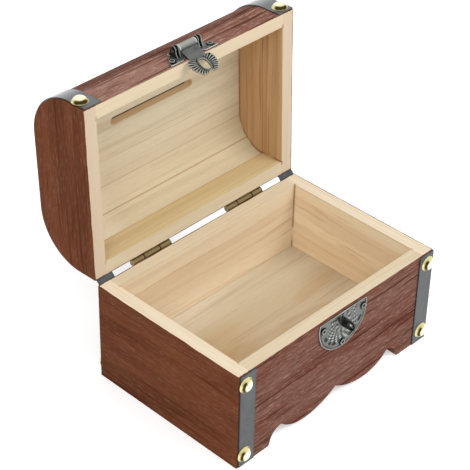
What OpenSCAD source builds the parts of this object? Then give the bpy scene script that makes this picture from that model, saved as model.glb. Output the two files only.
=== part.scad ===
// Wooden money box: a small chest with a D-shaped hinged lid, a coin slot in
// the crown, leather straps, dome nails and a padlock hasp.
// Millimetres, +Z up. The box stands on its feet at z = 0, the front looks
// towards -Y, and the lid is drawn open, leaning on its hinges.

/* [Box] */
// Outside width of base and lid
box_w = 150; // [140:1:180]
// Outside depth of base and lid
box_d = 101.5; // [95:0.5:120]
// Height of the base with its feet
base_h = 60.6; // [53:0.1:80]
// Thickness of the side, front and back boards
board_t = 8; // [7:0.5:10]
// Height of the inside floor above the table
floor_top = 17.5; // [16:0.1:20]
// Thickness of the bottom board
floor_t = 5; // [3:0.5:6]

/* [Apron] */
// Width of each foot, seen from the front
foot_w = 24.5; // [20:0.5:28]
// Height of the cusps of the apron above the table
arch_h = 9.6; // [9.4:0.1:10]
// Radius of the quarter round beside each foot
arch_r = 8.5; // [8:0.1:8.8]
// Height of the lowest point of each lobe above the table
lobe_gap = 2.2; // [1.8:0.1:3]
// Distance from the outer cusp to the lowest point of the lobe
lobe_run = 18; // [15:0.5:20]
// Rounding of the toe of each foot
toe_r = 2; // [2:0.1:3]

/* [Lid] */
// Height of the lid's straight sides
lid_side_h = 12; // [12:0.5:16]
// Outer radius of the lid's shoulders, which end at the flat crown
lid_r = 28; // [26:0.5:32]
// Thickness of the curved top boards
shell_t = 7; // [6:0.5:8]
// Height of the front and back rails under the curved top
rail_h = 15; // [14.5:0.5:18]
// Gap between the rims when the lid is shut
seam_gap = 0.3; // [0.2:0.05:0.5]
// Angle at which the open lid rests
lid_open = 92.3; // [90:0.1:96]

/* [Coin slot] */
// Length of the slot
slot_l = 60; // [50:1:80]
// Width of the slot
slot_w = 4.5; // [4.2:0.1:6]
// Distance of the slot from the front of the lid
slot_y = 39; // [34:0.5:50]

/* [Straps] */
// Width of the leather straps
strap_w = 11; // [10:0.5:14]
// Thickness of the leather
strap_t = 0.7; // [0.5:0.1:1.2]
// Distance of the left straps from the side of the box
strap_left_in = 1; // [0:0.1:2]
// Distance of the right straps from the side of the box
strap_right_in = 0; // [0:0.1:2]
// Distance of the strap ends from the rims and the table
strap_end = 0.4; // [0.3:0.1:1]

/* [Dome nails] */
// Diameter of the dome heads
dome_d = 9; // [7:0.5:10]
// Height of the dome heads
dome_h = 3; // [2:0.1:4]
// Diameter of the nail shanks
shank_d = 1.6; // [1.2:0.1:2]
// How deep the shanks go into the wood
shank_l = 11; // [8:0.5:14]
// Distance of the nails from the side of the box
dome_in = 4.7; // [4.6:0.1:6]
// Distance of the upper nails below the rim of the base
dome_top = 6.7; // [6:0.1:10]
// Height of the lower nails above the table
dome_low = 7.7; // [6:0.1:10]
// Height of the left lid nail above the seam
lid_dome_left = 7.5; // [6:0.1:7.5]
// Height of the right lid nail above the seam
lid_dome_right = 5.5; // [5.2:0.1:7.5]

/* [Hinges] */
// Length of each butt hinge
hinge_l = 27.5; // [24:0.5:32]
// Distance of the middle of each hinge from the end of the box
hinge_in = 39.5; // [34:0.5:45]
// Distance of the hinge axis behind the back
hinge_out = 2; // [1.9:0.05:2.2]
// Outer radius of the knuckles
knuckle_r = 1.7; // [1.6:0.05:1.8]
// Thickness of the leaves
leaf_t = 0.7; // [0.6:0.05:0.9]
// Height of each leaf, from the axis
leaf_h = 11.5; // [10:0.5:13]
// Radius of the hinge pins
hinge_pin_r = 0.8; // [0.6:0.05:0.9]

/* [Hasp and catch] */
// Distance of the hasp and the catch to the right of the middle
latch_x = 1.6; // [0:0.1:3]
// Thickness of the two nailed plates
plate_t = 0.8; // [0.6:0.05:0.9]
// Distance of the hasp pivot from the lid's front
pivot_out = 4; // [4:0.1:4.2]
// Height of the hasp pivot above the seam
pivot_up = 7; // [6.8:0.1:7.1]
// Radius of the ears that hold the hasp pin
ear_r = 3.4; // [3:0.1:3.6]
// Width of each ear
ear_w = 3; // [2.5:0.1:3.5]
// Clear distance between the ears
ear_gap = 13; // [12:0.5:14]
// Radius of the rolled end of the tongue
roll_r = 2.2; // [1.9:0.1:2.4]
// Radius of the hasp pin
hasp_pin_r = 0.9; // [0.7:0.05:1]
// Thickness of the tongue
tongue_t = 1; // [0.8:0.05:1]
// Length of the tongue below its pivot
tongue_l = 20.5; // [20.5:0.1:22]
// Angle at which the tongue leans in on the edge of the open lid
tongue_lean = 24; // [20:0.5:24]
// Width of the hole in the tongue
tongue_hole_w = 4.8; // [4.6:0.1:5]
// Distance of the staple below the rim of the base
staple_down = 7.5; // [7:0.1:8]
// How far the staple stands out of its plate
staple_out = 8.2; // [7.5:0.1:9]
// Height of the staple
staple_h = 5.6; // [5:0.1:6]
// Thickness of the staple
staple_t = 1.6; // [1.2:0.1:2]
// Radius of the padlock hole in the staple
lock_r = 1.7; // [1.5:0.05:1.8]

/* [Small nails] */
// Radius of the small nail heads
tack_r = 1.7; // [1.4:0.1:1.9]
// Height of the small nail heads
tack_h = 0.9; // [0.6:0.1:1.2]
// Radius of the small nail shanks
tack_shank_r = 0.5; // [0.4:0.05:0.6]
// Depth of the small nails in the wood
tack_l = 5; // [4:0.5:6]

/* [Hidden] */
$fn = 96;

eps = 0.01;             // overlap of shapes that are joined, and reach of cuts
pin_play = 0.05;        // radial play of a pin in what turns on it
nail_play = 0.03;       // radial play of a nail or a fixed pin in its hole

inner_w = box_w - 2 * board_t;
inner_d = box_d - 2 * board_t;
lid_z = base_h + seam_gap;              // underside of the shut lid
hinge_y = box_d + hinge_out;
hinge_z = base_h + seam_gap / 2;
dome_x = box_w / 2 - dome_in;
// Edge of the left (-1) or right (1) straps that is nearer to the left
function strap_from(side) =
    side < 0 ? -box_w / 2 + strap_left_in : box_w / 2 - strap_right_in - strap_w;

// Apron, measured from the middle of the box on its left half
cusp_x = -box_w / 2 + foot_w + arch_r;
arch_z = arch_h - arch_r;               // centre of the quarter round
lobe_x = cusp_x + lobe_run;
lobe_h = arch_h - lobe_gap;
cut_lap = 0.3;          // how far one sawn-out shape runs into the next
function arc_r(run, rise) = (run * run + rise * rise) / (2 * rise);

// The box is centred on the table under its open lid: the staple reaches
// furthest forward, and the strap on the lid's front shoulder furthest back.
shoulder_y = lid_r - hinge_y;
shoulder_z = lid_z + lid_side_h - hinge_z;
reach_front = -plate_t - staple_out;
reach_back = hinge_y + cos(lid_open) * shoulder_y + sin(lid_open) * shoulder_z
    + lid_r + strap_t;
mid_y = (reach_front + reach_back) / 2;

WOOD = [0.44, 0.28, 0.22];
PALE = [0.86, 0.76, 0.60];
LEATHER = [0.35, 0.37, 0.38];
BRASS = [0.80, 0.74, 0.48];
BRONZE = [0.45, 0.40, 0.27];
PEWTER = [0.36, 0.38, 0.38];

// ---- Placing ----

// Base pieces: y is measured from the front face of the box.
module in_base() {
    translate([0, -mid_y, 0]) children();
}

// Lid pieces are drawn on the shut lid, with z measured from its underside.
module in_lid() {
    in_base()
        translate([0, hinge_y, hinge_z])
            rotate([-lid_open, 0, 0])
                translate([0, -hinge_y, lid_z - hinge_z]) children();
}

// An outline drawn in Y and Z, made w long along X from x.
module along_x(x, w) {
    translate([x, 0, 0]) rotate([90, 0, 90]) linear_extrude(w) children();
}

// An outline drawn in X and Z, made t thick towards the front from y.
module along_front(y, t) {
    translate([0, y, 0]) rotate([90, 0, 0]) linear_extrude(t) children();
}

// A round bar along X, centred on x.
module bar_x(x, w, r) {
    translate([x - w / 2, 0, 0]) rotate([0, 90, 0]) cylinder(h = w, r = r);
}

// Copies at the left and right dome nails.
module both_sides() {
    for (side = [-1, 1]) translate([side * dome_x, 0, 0]) children();
}

// ---- Nails: the head sits on y = 0 and looks towards -Y ----

module nail_head(r, h) {
    ball = arc_r(r, h);
    rotate([90, 0, 0])
        rotate_extrude() intersection() {
            translate([0, h - ball]) circle(r = ball);
            square([r, h]);
        }
}

module dome_nail() {
    nail_head(dome_d / 2, dome_h);
    shank(shank_d / 2, shank_l);
}

module tack() {
    nail_head(tack_r, tack_h);
    shank(tack_shank_r, tack_l);
}

module shank(r, l) {
    rotate([-90, 0, 0]) cylinder(h = l, r = r);
}

module dome_hole() {
    translate([0, -eps, 0]) shank(shank_d / 2 + nail_play, shank_l + 2 * eps);
}

module tack_hole() {
    translate([0, -eps, 0]) shank(tack_shank_r + nail_play, tack_l + 2 * eps);
}

// ---- Where the nails go ----

module at_front_domes() {
    both_sides()
        for (z = [dome_low, base_h - dome_top])
            translate([0, -strap_t, z]) children();
}

module at_back_domes() {
    both_sides()
        translate([0, box_d + strap_t, dome_low]) rotate([0, 0, 180]) children();
}

module at_lid_domes() {
    translate([-dome_x, -strap_t, lid_dome_left]) children();
    translate([dome_x, -strap_t, lid_dome_right]) children();
}

catch_z = base_h - 5.5;      // centre of the catch plate's arc
catch_top = base_h - 1.3;    // its straight upper edge
catch_r = 17.9;
petal_ring = 14.3;           // radius on which the petals of its edge sit
petal_r = 4.3;
catch_nail_ring = 15.4;

module at_catch_nails() {
    for (a = [-180, -90, 0])
        translate([latch_x + catch_nail_ring * cos(a), -plate_t,
                   catch_z + catch_nail_ring * sin(a)]) children();
}

hasp_nail_x = 13.6;
hasp_nail_z = 3.2;

module at_hasp_nails() {
    for (side = [-1, 1])
        translate([latch_x + side * hasp_nail_x, -plate_t, hasp_nail_z])
            children();
}

leaf_start = knuckle_r + 0.25;          // edge of a leaf from the hinge axis
leaf_nail_x = hinge_l / 3;
leaf_nail_z = (leaf_start + leaf_h) / 2;

module at_leaf_nails(z) {
    for (side = [-1, 1], dx = [-leaf_nail_x, leaf_nail_x])
        translate([side * (box_w / 2 - hinge_in) + dx, box_d + leaf_t, z])
            rotate([0, 0, 180]) children();
}

// ---- Base boards ----

module base_side(side) {
    color(WOOD) in_base() difference() {
        translate([side * (box_w / 2 - board_t / 2) - board_t / 2, 0, 0])
            cube([board_t, box_d, base_h]);
        at_front_domes() dome_hole();
        at_back_domes() dome_hole();
    }
}

// What is sawn out of the apron's left half: a quarter round beside the foot,
// whose toe stays round, and all that lies below the lobe's two arcs.
module apron_cut_2d() {
    toe_x = cusp_x - sqrt(arch_r * arch_r - pow(toe_r - arch_z, 2)) - toe_r;
    difference() {
        union() {
            intersection() {
                translate([cusp_x, arch_z]) circle(r = arch_r);
                translate([toe_x, -arch_h])
                    square([cusp_x - toe_x + 2 * cut_lap, 2 * arch_h + cut_lap]);
            }
            translate([toe_x, -toe_r])
                square([2 * toe_r, 2 * toe_r - cut_lap / 2]);
            translate([cusp_x + cut_lap, -toe_r])
                square([-cusp_x - cut_lap, arch_h + toe_r + cut_lap]);
        }
        translate([toe_x, toe_r]) circle(r = toe_r);
        lobe_2d(cusp_x - cut_lap, lobe_x, lobe_run);
        lobe_2d(lobe_x, cut_lap, -lobe_x);
    }
}

// From x0 to x1, the disc whose rim is the arc over that run
module lobe_2d(x0, x1, run) {
    r = arc_r(run, lobe_h);
    intersection() {
        translate([lobe_x, lobe_gap + r]) circle(r = r);
        translate([x0, 0]) square([x1 - x0, 2 * arch_h]);
    }
}

module apron_panel_2d() {
    difference() {
        translate([-inner_w / 2, 0]) square([inner_w, base_h]);
        for (side = [0, 1]) mirror([side, 0]) apron_cut_2d();
    }
}

module base_front_panel() {
    color(WOOD) in_base() difference() {
        along_front(board_t, board_t) apron_panel_2d();
        at_catch_nails() tack_hole();
    }
}

module base_back_panel() {
    color(WOOD) in_base() difference() {
        along_front(box_d, board_t) apron_panel_2d();
        at_leaf_nails(hinge_z - leaf_nail_z) tack_hole();
    }
}

module base_bottom_panel() {
    color(PALE) in_base()
        translate([-inner_w / 2, board_t, floor_top - floor_t])
            cube([inner_w, inner_d, floor_t]);
}

// ---- Lid boards, on the shut lid ----

// The lid's end outline in Y and Z, grown by g
module lid_outline(g) {
    r = lid_r + g;
    intersection() {
        union() {
            translate([-g, 0]) square([box_d + 2 * g, lid_side_h]);
            translate([lid_r, 0])
                square([box_d - 2 * lid_r, lid_side_h + r]);
            for (y = [lid_r, box_d - lid_r])
                translate([y, lid_side_h]) circle(r = r);
        }
        translate([-g, 0]) square([box_d + 2 * g, lid_side_h + r]);
    }
}

module lid_end(side) {
    color(WOOD) in_lid() difference() {
        along_x(side * (box_w / 2 - board_t / 2) - board_t / 2, board_t)
            lid_outline(0);
        at_lid_domes() dome_hole();
    }
}

module rail(y) {
    along_x(-inner_w / 2, inner_w) intersection() {
        lid_outline(0);
        translate([y, 0]) square([board_t, rail_h]);
    }
}

module lid_front_rail() {
    color(WOOD) in_lid() difference() {
        rail(0);
        at_hasp_nails() tack_hole();
    }
}

module lid_back_rail() {
    color(WOOD) in_lid() difference() {
        rail(box_d - board_t);
        at_leaf_nails(hinge_z + leaf_nail_z - lid_z) tack_hole();
    }
}

module coin_slot() {
    z = lid_side_h + lid_r - shell_t - 1;
    run = slot_l - slot_w;
    translate([-run / 2, slot_y - slot_w / 2, z])
        cube([run, slot_w, shell_t + 2]);
    for (x = [-run / 2, run / 2])
        translate([x, slot_y, z]) cylinder(h = shell_t + 2, d = slot_w);
}

module lid_top_shell() {
    color(WOOD) in_lid() difference() {
        along_x(-inner_w / 2, inner_w) difference() {
            lid_outline(0);
            lid_outline(-shell_t);
            translate([-eps, -eps]) square([box_d + 2 * eps, rail_h + eps]);
        }
        coin_slot();
    }
}

// ---- Straps ----

module base_front_strap(side) {
    color(LEATHER) in_base() difference() {
        translate([strap_from(side), -strap_t, strap_end])
            cube([strap_w, strap_t, base_h - 2 * strap_end]);
        at_front_domes() dome_hole();
    }
}

module base_back_strap(side) {
    color(LEATHER) in_base() difference() {
        translate([strap_from(side), box_d, strap_end])
            cube([strap_w, strap_t, base_h - 2 * strap_end]);
        at_back_domes() dome_hole();
    }
}

module lid_strap(side) {
    color(LEATHER) in_lid() difference() {
        along_x(strap_from(side), strap_w) difference() {
            lid_outline(strap_t);
            lid_outline(0);
            translate([-strap_t - eps, -eps])
                square([box_d + 2 * strap_t + 2 * eps, strap_end + eps]);
        }
        at_lid_domes() dome_hole();
    }
}

// ---- Dome nails ----

module base_dome_nails() {
    color(BRASS) in_base() {
        at_front_domes() dome_nail();
        at_back_domes() dome_nail();
    }
}

module lid_dome_nails() {
    color(BRASS) in_lid() at_lid_domes() dome_nail();
}

// ---- Butt hinges: the base leaf carries the outer knuckles ----

knuckle_gap = 0.2;
mid_knuckle = 11.4;                              // length of the lid's knuckle
end_knuckle = (hinge_l - mid_knuckle) / 2 - knuckle_gap;

// A leaf that hangs down from the axis at y = hinge_out behind the back
module leaf(knuckles) {
    difference() {
        union() {
            translate([-hinge_l / 2, 0, -leaf_h])
                cube([hinge_l, leaf_t, leaf_h - leaf_start]);
            for (k = knuckles) {
                translate([k[0] - k[1] / 2, 0, -leaf_start - eps])
                    cube([k[1], leaf_t, leaf_start + eps]);
                translate([0, hinge_out, 0]) bar_x(k[0], k[1], knuckle_r);
            }
        }
        translate([0, hinge_out, 0])
            bar_x(0, hinge_l + 1, hinge_pin_r + pin_play);
        for (dx = [-leaf_nail_x, leaf_nail_x])
            translate([dx, leaf_t, -leaf_nail_z]) rotate([0, 0, 180])
                tack_hole();
    }
}

module hinge_base_leaf(side) {
    x = (hinge_l - end_knuckle) / 2;
    color(BRONZE) in_base()
        translate([side * (box_w / 2 - hinge_in), box_d, hinge_z])
            leaf([[-x, end_knuckle], [x, end_knuckle]]);
}

module hinge_lid_leaf(side) {
    color(BRONZE) in_lid()
        translate([side * (box_w / 2 - hinge_in), box_d, hinge_z - lid_z])
            mirror([0, 0, 1]) leaf([[0, mid_knuckle]]);
}

module hinge_pins() {
    color(BRONZE) in_base()
        for (side = [-1, 1])
            translate([0, hinge_y, hinge_z])
                bar_x(side * (box_w / 2 - hinge_in), hinge_l, hinge_pin_r);
}

module hinge_base_nails() {
    color(BRONZE) in_base() at_leaf_nails(hinge_z - leaf_nail_z) tack();
}

module hinge_lid_nails() {
    color(BRONZE) in_lid() at_leaf_nails(hinge_z + leaf_nail_z - lid_z) tack();
}

// ---- Catch on the base ----

module catch_plate() {
    color(PEWTER) in_base() difference() {
        along_front(0, plate_t) translate([latch_x, 0]) intersection() {
            union() {
                translate([0, catch_z]) circle(r = catch_r);
                for (a = [-180 : 30 : 0])
                    translate([petal_ring * cos(a), catch_z + petal_ring * sin(a)])
                        circle(r = petal_r);
            }
            translate([-box_w / 4, 0]) square([box_w / 2, catch_top]);
        }
        at_catch_nails() tack_hole();
    }
}

// A flat lug with a round end, through which the padlock goes
module catch_staple() {
    run = staple_out - staple_h / 2;       // from the plate to the round end
    color(PEWTER) in_base() along_x(latch_x - staple_t / 2, staple_t)
        translate([-plate_t - run, base_h - staple_down]) difference() {
            union() {
                circle(d = staple_h);
                translate([0, -staple_h / 2]) square([run, staple_h]);
            }
            circle(r = lock_r);
        }
}

module catch_nails() {
    color(PEWTER) in_base() at_catch_nails() tack();
}

// ---- Hasp on the lid ----

hasp_low = 0.3;              // lower edge of the hasp plate above the seam
hasp_top = 12;
hasp_r = 17.9;               // radius of its outline
ear_back_top = 11;           // top of the part of the plate behind the ears
recess_x = 6.6;              // half width and height of the recess that the
recess_top = 2.3;            // leaning tongue needs in the plate
pin_proud = 0.3;             // how far the pin stands out of each ear

module hasp_plate_2d() {
    ears_x = ear_gap / 2 + ear_w + pin_proud;
    translate([latch_x, 0]) difference() {
        union() {
            intersection() {
                translate([0, hasp_top - hasp_r]) circle(r = hasp_r);
                translate([-hasp_r, hasp_low]) square([2 * hasp_r, hasp_top]);
            }
            translate([-ears_x, hasp_low])
                square([2 * ears_x, ear_back_top - hasp_low]);
        }
        translate([-recess_x, 0]) square([2 * recess_x, recess_top]);
    }
}

module at_pivot() {
    translate([0, -pivot_out, pivot_up]) children();
}

module hasp_plate() {
    color(PEWTER) in_lid() difference() {
        union() {
            along_front(0, plate_t) hasp_plate_2d();
            for (side = [-1, 1]) {
                x = latch_x + side * (ear_gap + ear_w) / 2;
                at_pivot() bar_x(x, ear_w, ear_r);
                translate([x - ear_w / 2, -pivot_out, pivot_up - ear_r])
                    cube([ear_w, pivot_out - plate_t / 2, 2 * ear_r]);
            }
        }
        at_pivot() bar_x(latch_x, 2 * ear_gap, hasp_pin_r + nail_play);
        at_hasp_nails() tack_hole();
    }
}

module hasp_pin() {
    color(PEWTER) in_lid() at_pivot()
        bar_x(latch_x, ear_gap + 2 * (ear_w + pin_proud), hasp_pin_r);
}

module hasp_nails() {
    color(PEWTER) in_lid() at_hasp_nails() tack();
}

// ---- Tongue: hangs from the pivot at the origin, in X and Z ----

roll_w = ear_gap - 0.6;                       // rolled end, between the ears
tongue_back = 0.75;                           // back face from the pivot axis
hole_h = staple_h + 1.6;                      // the hole clears the staple
hole_z = -(pivot_up + seam_gap + staple_down);  // it meets the staple when shut
neck_top_x = roll_w / 2 - 0.4;                // half width at the rolled end
neck_x = 5;                                   // and above the wings
wing_x = 5.7;
wing_r = 4.1;
wing_rise = 4.8;                              // wings above the tail's centre
tail_x = 3.3;
tail_r = 3;
hole_web = 1;                                 // metal left below the hole

module tongue_2d() {
    tail_z = -tongue_l + tail_r;
    wing_z = tail_z + wing_rise;
    neck_z = wing_z + wing_r * 0.7;
    difference() {
        union() {
            polygon([[-neck_top_x, 0], [neck_top_x, 0],
                     [neck_x, neck_z], [neck_x, wing_z],
                     [tail_x, tail_z], [-tail_x, tail_z],
                     [-neck_x, wing_z], [-neck_x, neck_z]]);
            for (side = [-1, 1]) {
                translate([side * wing_x, wing_z]) circle(r = wing_r);
                translate([side * tail_x, tail_z]) circle(r = tail_r);
            }
            translate([0, hole_z - (hole_h - tongue_hole_w) / 2])
                circle(r = tongue_hole_w / 2 + hole_web);
        }
        for (dz = [-1, 1] * (hole_h - tongue_hole_w) / 2)
            translate([0, hole_z + dz]) circle(d = tongue_hole_w);
        translate([-tongue_hole_w / 2, hole_z - (hole_h - tongue_hole_w) / 2])
            square([tongue_hole_w, hole_h - tongue_hole_w]);
    }
}

module hasp_tongue() {
    color(PEWTER) in_lid() at_pivot() rotate([tongue_lean, 0, 0])
        translate([latch_x, 0, 0]) difference() {
            union() {
                along_front(tongue_back, tongue_t) tongue_2d();
                bar_x(0, roll_w, roll_r);
            }
            bar_x(0, roll_w + 1, hasp_pin_r + pin_play);
        }
}

// ---- Nodes ----

base_side(-1);  // base_left_side
base_side(1);  // base_right_side
base_front_panel();
base_back_panel();
base_bottom_panel();
base_front_strap(-1);  // base_front_strap_left
base_front_strap(1);  // base_front_strap_right
base_back_strap(-1);  // base_back_strap_left
base_back_strap(1);  // base_back_strap_right
base_dome_nails();
catch_plate();
catch_staple();
catch_nails();
hinge_base_leaf(-1);  // hinge_base_leaf_left
hinge_base_leaf(1);  // hinge_base_leaf_right
hinge_base_nails();
hinge_pins();
lid_end(-1);  // lid_left_end
lid_end(1);  // lid_right_end
lid_front_rail();
lid_back_rail();
lid_top_shell();
lid_strap(-1);  // lid_strap_left
lid_strap(1);  // lid_strap_right
lid_dome_nails();
hinge_lid_leaf(-1);  // hinge_lid_leaf_left
hinge_lid_leaf(1);  // hinge_lid_leaf_right
hinge_lid_nails();
hasp_plate();
hasp_pin();
hasp_nails();
hasp_tongue();
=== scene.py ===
import math

import bmesh
import bpy
from mathutils import Matrix, Vector


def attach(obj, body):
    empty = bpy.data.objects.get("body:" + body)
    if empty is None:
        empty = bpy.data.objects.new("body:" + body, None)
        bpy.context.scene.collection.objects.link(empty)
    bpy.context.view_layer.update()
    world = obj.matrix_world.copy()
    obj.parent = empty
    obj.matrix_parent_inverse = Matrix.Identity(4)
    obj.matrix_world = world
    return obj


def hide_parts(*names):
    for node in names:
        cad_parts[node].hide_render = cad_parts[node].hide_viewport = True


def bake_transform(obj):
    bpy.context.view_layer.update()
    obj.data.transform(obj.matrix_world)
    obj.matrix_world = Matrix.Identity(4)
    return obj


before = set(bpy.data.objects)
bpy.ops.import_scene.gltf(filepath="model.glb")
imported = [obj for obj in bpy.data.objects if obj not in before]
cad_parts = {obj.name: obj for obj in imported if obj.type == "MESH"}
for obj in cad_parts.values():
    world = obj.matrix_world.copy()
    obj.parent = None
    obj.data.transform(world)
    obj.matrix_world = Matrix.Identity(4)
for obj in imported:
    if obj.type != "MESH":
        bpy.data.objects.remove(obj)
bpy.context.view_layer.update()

# ---- Sizes of the box, in millimetres ----

MM = 0.001

# Boards, lid and coin slot.
BOX_W = 150
BOX_D = 101.5
BASE_H = 60.6
BOARD_T = 8
INNER_X = BOX_W / 2 - BOARD_T
FLOOR_TOP = 17.5
LID_SIDE_H = 12
LID_R = 28
SHELL_T = 7
RAIL_H = 15
SEAM = 0.3
LID_Z = BASE_H + SEAM
LID_OPEN = math.radians(92.3)
SLOT_L = 60
SLOT_W = 4.5
SLOT_Y = 39

# Hinges.
HINGE_X = 35.5
HINGE_Y = BOX_D + 2
HINGE_Z = BASE_H + SEAM / 2
KNUCKLE_L = 11.4

# Leather straps, which stop short of the two rims at the back.
STRAP_W = 11
STRAP_T = 0.7
STRAP_MIDDLE = {"left": -68.5, "right": 69.5}
STRAP_END = 0.4

# Latch: the catch plate with its lug, and the hasp plate with its ears and tongue.
LATCH_X = 1.6
PLATE_T = 0.8
CATCH_Z = BASE_H - 5.5
STAPLE_Z = BASE_H - 7.5
STAPLE_OUT = 8.2
STAPLE_H = 5.6
STAPLE_T = 1.6
PIVOT_OUT = 4
PIVOT_UP = 7
EAR_GAP = 13
EAR_W = 3
ROLL_R = 2.2
PIN_R = 0.95
TONGUE_LEAN = math.radians(24)
TONGUE_BACK = 0.75
TONGUE_T = 1.0

# Dome nails on the straps and ring nails on the latch.
DOME_X = BOX_W / 2 - 4.7
DOME_R = 4.5
DOME_H = 3
TACK_R = 1.7
TACK_H = 0.9

# The open box stands in the middle of the table, from its lug to its lid's crown.
FRONT_REACH = -PLATE_T - STAPLE_OUT
BACK_REACH = (
    HINGE_Y
    + math.cos(LID_OPEN) * (LID_R - HINGE_Y)
    + math.sin(LID_OPEN) * (LID_Z + LID_SIDE_H - HINGE_Z)
    + LID_R
    + STRAP_T
)
MID_Y = (FRONT_REACH + BACK_REACH) / 2


def base_at(x, y, z):
    """A point of the base in metres: x from the middle, y from the front, z up."""
    return Vector((x, y - MID_Y, z)) * MM


def lid_at(x, y, z):
    """A point of the shut lid, z from its underside, taken to the open lid."""
    dy, dz = y - HINGE_Y, z + LID_Z - HINGE_Z
    c, s = math.cos(LID_OPEN), math.sin(LID_OPEN)
    return base_at(x, HINGE_Y + c * dy + s * dz, HINGE_Z - s * dy + c * dz)


def tongue_at(x, y, z):
    """A point of the tongue, from the hasp's pivot, as it leans on the lid."""
    c, s = math.cos(TONGUE_LEAN), math.sin(TONGUE_LEAN)
    return lid_at(LATCH_X + x, c * y - s * z - PIVOT_OUT, s * y + c * z + PIVOT_UP)


def add_object(name, data):
    made = bpy.data.objects.new(name, data)
    bpy.context.collection.objects.link(made)
    return made


# ---- Camera ----

CAMERA_AT = base_at(-512.5, -409.8, 584.4)
CAMERA_AZIMUTH = math.radians(-46.55)
CAMERA_ELEVATION = math.radians(36.15)
CAMERA_ROLL = math.radians(1.363)
CAMERA_SENSOR = 36
CAMERA_LENS = 125.53


def make_camera():
    data = bpy.data.cameras.new("camera")
    data.sensor_width = CAMERA_SENSOR
    data.lens = CAMERA_LENS
    camera = add_object("camera", data)
    level = math.cos(CAMERA_ELEVATION)
    back = Vector((
        math.sin(CAMERA_AZIMUTH) * level,
        -math.cos(CAMERA_AZIMUTH) * level,
        math.sin(CAMERA_ELEVATION),
    ))
    right = Vector((0, 0, 1)).cross(back).normalized()
    up = back.cross(right)
    c, s = math.cos(CAMERA_ROLL), math.sin(CAMERA_ROLL)
    right, up = c * right + s * up, c * up - s * right
    turn = Matrix((right, up, back)).transposed()
    camera.matrix_world = Matrix.Translation(CAMERA_AT) @ turn.to_4x4()
    bpy.context.scene.camera = camera


# ---- Shader helpers ----


class Mixer:
    """Adds nodes to one material or group and hands back their outputs."""

    def __init__(self, tree):
        self.tree = tree

    def node(self, kind, inputs=(), **settings):
        made = self.tree.nodes.new(kind)
        for name, value in settings.items():
            setattr(made, name, value)
        for socket, value in dict(inputs).items():
            self.feed(made.inputs[socket], value)
        return made

    def feed(self, socket, value):
        if isinstance(value, bpy.types.NodeSocket):
            self.tree.links.new(value, socket)
        else:
            socket.default_value = value

    def give(self, leave, **values):
        """Feeds the outputs of a group."""
        for name, value in values.items():
            self.feed(leave[name], value)

    def math(self, operation, a, b=0.0):
        made = self.node("ShaderNodeMath", {0: a, 1: b}, operation=operation)
        return made.outputs[0]

    def times(self, a, b):
        return self.math("MULTIPLY", a, b)

    def minus(self, a, b):
        return self.math("SUBTRACT", a, b)

    def gap(self, a, b):
        """How far two values are apart."""
        return self.math("ABSOLUTE", self.minus(a, b))

    def length(self, a, b):
        """How long a step is that goes a one way and b across it."""
        return self.math("SQRT", self.math("ADD", self.times(a, a), self.times(b, b)))

    def scaled(self, vector, factors):
        made = self.node("ShaderNodeVectorMath", {0: vector, 1: factors},
                         operation="MULTIPLY")
        return made.outputs[0]

    def moved(self, vector, offset):
        made = self.node("ShaderNodeVectorMath", {0: vector, 1: offset},
                         operation="ADD")
        return made.outputs[0]

    def split(self, vector):
        return self.node("ShaderNodeSeparateXYZ", {0: vector}).outputs

    def object_place(self):
        """Millimetres from the middle of the table, at each point of a piece."""
        at = self.node("ShaderNodeTexCoord").outputs["Object"]
        return self.scaled(at, (1 / MM,) * 3)

    def noise(self, vector, detail=2.0, roughness=0.5, scale=1.0):
        made = self.node("ShaderNodeTexNoise", {
            "Vector": vector, "Scale": scale, "Detail": detail,
            "Roughness": roughness})
        return made.outputs["Fac"]

    def streaks(self, vector, along, across, detail=2.0, roughness=0.5):
        """Noise drawn out along X, by its pace along and across the grain."""
        drawn = self.scaled(vector, (along, across, across))
        return self.noise(drawn, detail, roughness)

    def band(self, value, low, high):
        """0 below low, 1 above high, smooth between them."""
        made = self.node("ShaderNodeMapRange", {
            "Value": value, "From Min": low, "From Max": high},
            interpolation_type="SMOOTHSTEP")
        return made.outputs["Result"]

    def mix(self, kind, amount, below, above):
        made = self.node("ShaderNodeMix", data_type=kind)
        self.feed(made.inputs["Factor"], amount)
        self.feed(made.inputs["A"], below)
        self.feed(made.inputs["B"], above)
        return made.outputs["Result"]

    def tint(self, amount, below, above):
        return self.mix("RGBA", amount, below, above)

    def between(self, amount, below, above):
        return self.mix("FLOAT", amount, below, above)

    def seeded(self, vector, seed):
        """The same place moved far off by a seed, so that no two boards match."""
        step = self.node("ShaderNodeCombineXYZ", {0: seed, 1: seed, 2: seed})
        return self.moved(vector, step.outputs[0])

    def swayed(self, vector, pace, reach):
        """The same place moved sideways by a slow wave along X."""
        slow = self.streaks(vector, pace, 0.03, 1.0)
        aside = self.times(self.minus(slow, 0.5), reach * 2)
        return self.moved(vector, self.node(
            "ShaderNodeCombineXYZ", {1: aside, 2: aside}).outputs[0])

    def near(self, value, place, low, high):
        """1 within low of a place, 0 beyond high."""
        return self.band(self.gap(value, place), high, low)

    def bump(self, skin, height, strength, distance):
        """Bumps that stand a distance in millimetres out of the surface."""
        made = self.node("ShaderNodeBump", {
            "Height": height, "Strength": strength, "Distance": distance * MM})
        self.feed(skin["Normal"], made.outputs[0])

    def group(self, group, **inputs):
        made = self.node("ShaderNodeGroup", node_tree=group)
        for name, value in inputs.items():
            self.feed(made.inputs[name], value)
        return made.outputs


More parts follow.
